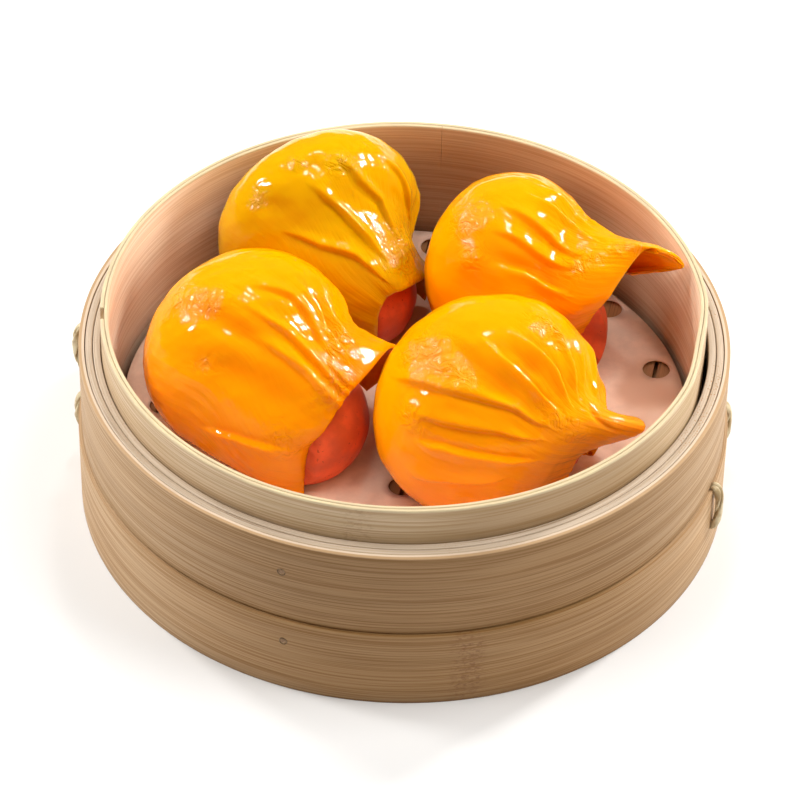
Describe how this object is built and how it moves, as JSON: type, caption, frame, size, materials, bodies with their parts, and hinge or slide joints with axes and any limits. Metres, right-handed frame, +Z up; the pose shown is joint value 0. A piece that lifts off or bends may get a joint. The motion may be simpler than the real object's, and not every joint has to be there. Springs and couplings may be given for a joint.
{
  "type": "steamer of har gow",
  "caption": "Round bamboo steamer basket holding pleated orange-yellow shrimp dumplings with red bellies on a punched paper liner",
  "frame": {"origin": "on the basket's axis, on the surface that it stands on", "axes": "+Z up, +X to the right and -Y to the front, from where the dumplings' lips are seen"},
  "size_m": [0.1848, 0.182, 0.0787],
  "materials": {
    "bamboo_skin": "pale planed bamboo strip with fine fibres along it, satin",
    "bamboo_edge": "cut edge of bamboo strip, porous and dry",
    "bamboo_hoop": "steamed bamboo strip, warm tan inside, pale cream cut rim",
    "bamboo_slat": "split bamboo, darkened by steam",
    "cane": "split cane, satin",
    "liner_paper": "greased paper, matte",
    "wrapper_dough": "wet, glossy, slightly translucent steamed dough",
    "belly_dough": "smooth red steamed dough with a soft sheen"
  },
  "bodies": {
    "root": {"outer_band_upper": "bamboo_skin", "outer_band_lower": "bamboo_skin", "filler_outer": "bamboo_edge", "filler_inner": "bamboo_edge", "hoop_outer": "bamboo_hoop", "hoop_inner": "bamboo_hoop", "peg_1": "cane", "peg_2": "cane", "stitch_1": "cane", "stitch_2": "cane", "stitch_3": "cane", "stitch_4": "cane", "slat_01": "bamboo_slat", "slat_02": "bamboo_slat", "slat_03": "bamboo_slat", "slat_04": "bamboo_slat", "slat_05": "bamboo_slat", "slat_06": "bamboo_slat", "slat_07": "bamboo_slat", "slat_08": "bamboo_slat", "slat_09": "bamboo_slat", "slat_10": "bamboo_slat", "slat_11": "bamboo_slat", "slat_12": "bamboo_slat", "slat_13": "bamboo_slat", "support_ring": "bamboo_slat", "batten_1": "bamboo_slat", "batten_2": "bamboo_slat", "paper_liner": "liner_paper", "dumpling_1_wrapper": "wrapper_dough", "dumpling_1_belly": "belly_dough", "dumpling_2_wrapper": "wrapper_dough", "dumpling_2_belly": "belly_dough", "dumpling_3_wrapper": "wrapper_dough", "dumpling_3_belly": "belly_dough", "dumpling_4_wrapper": "wrapper_dough", "dumpling_4_belly": "belly_dough"}
  },
  "joints": []
}
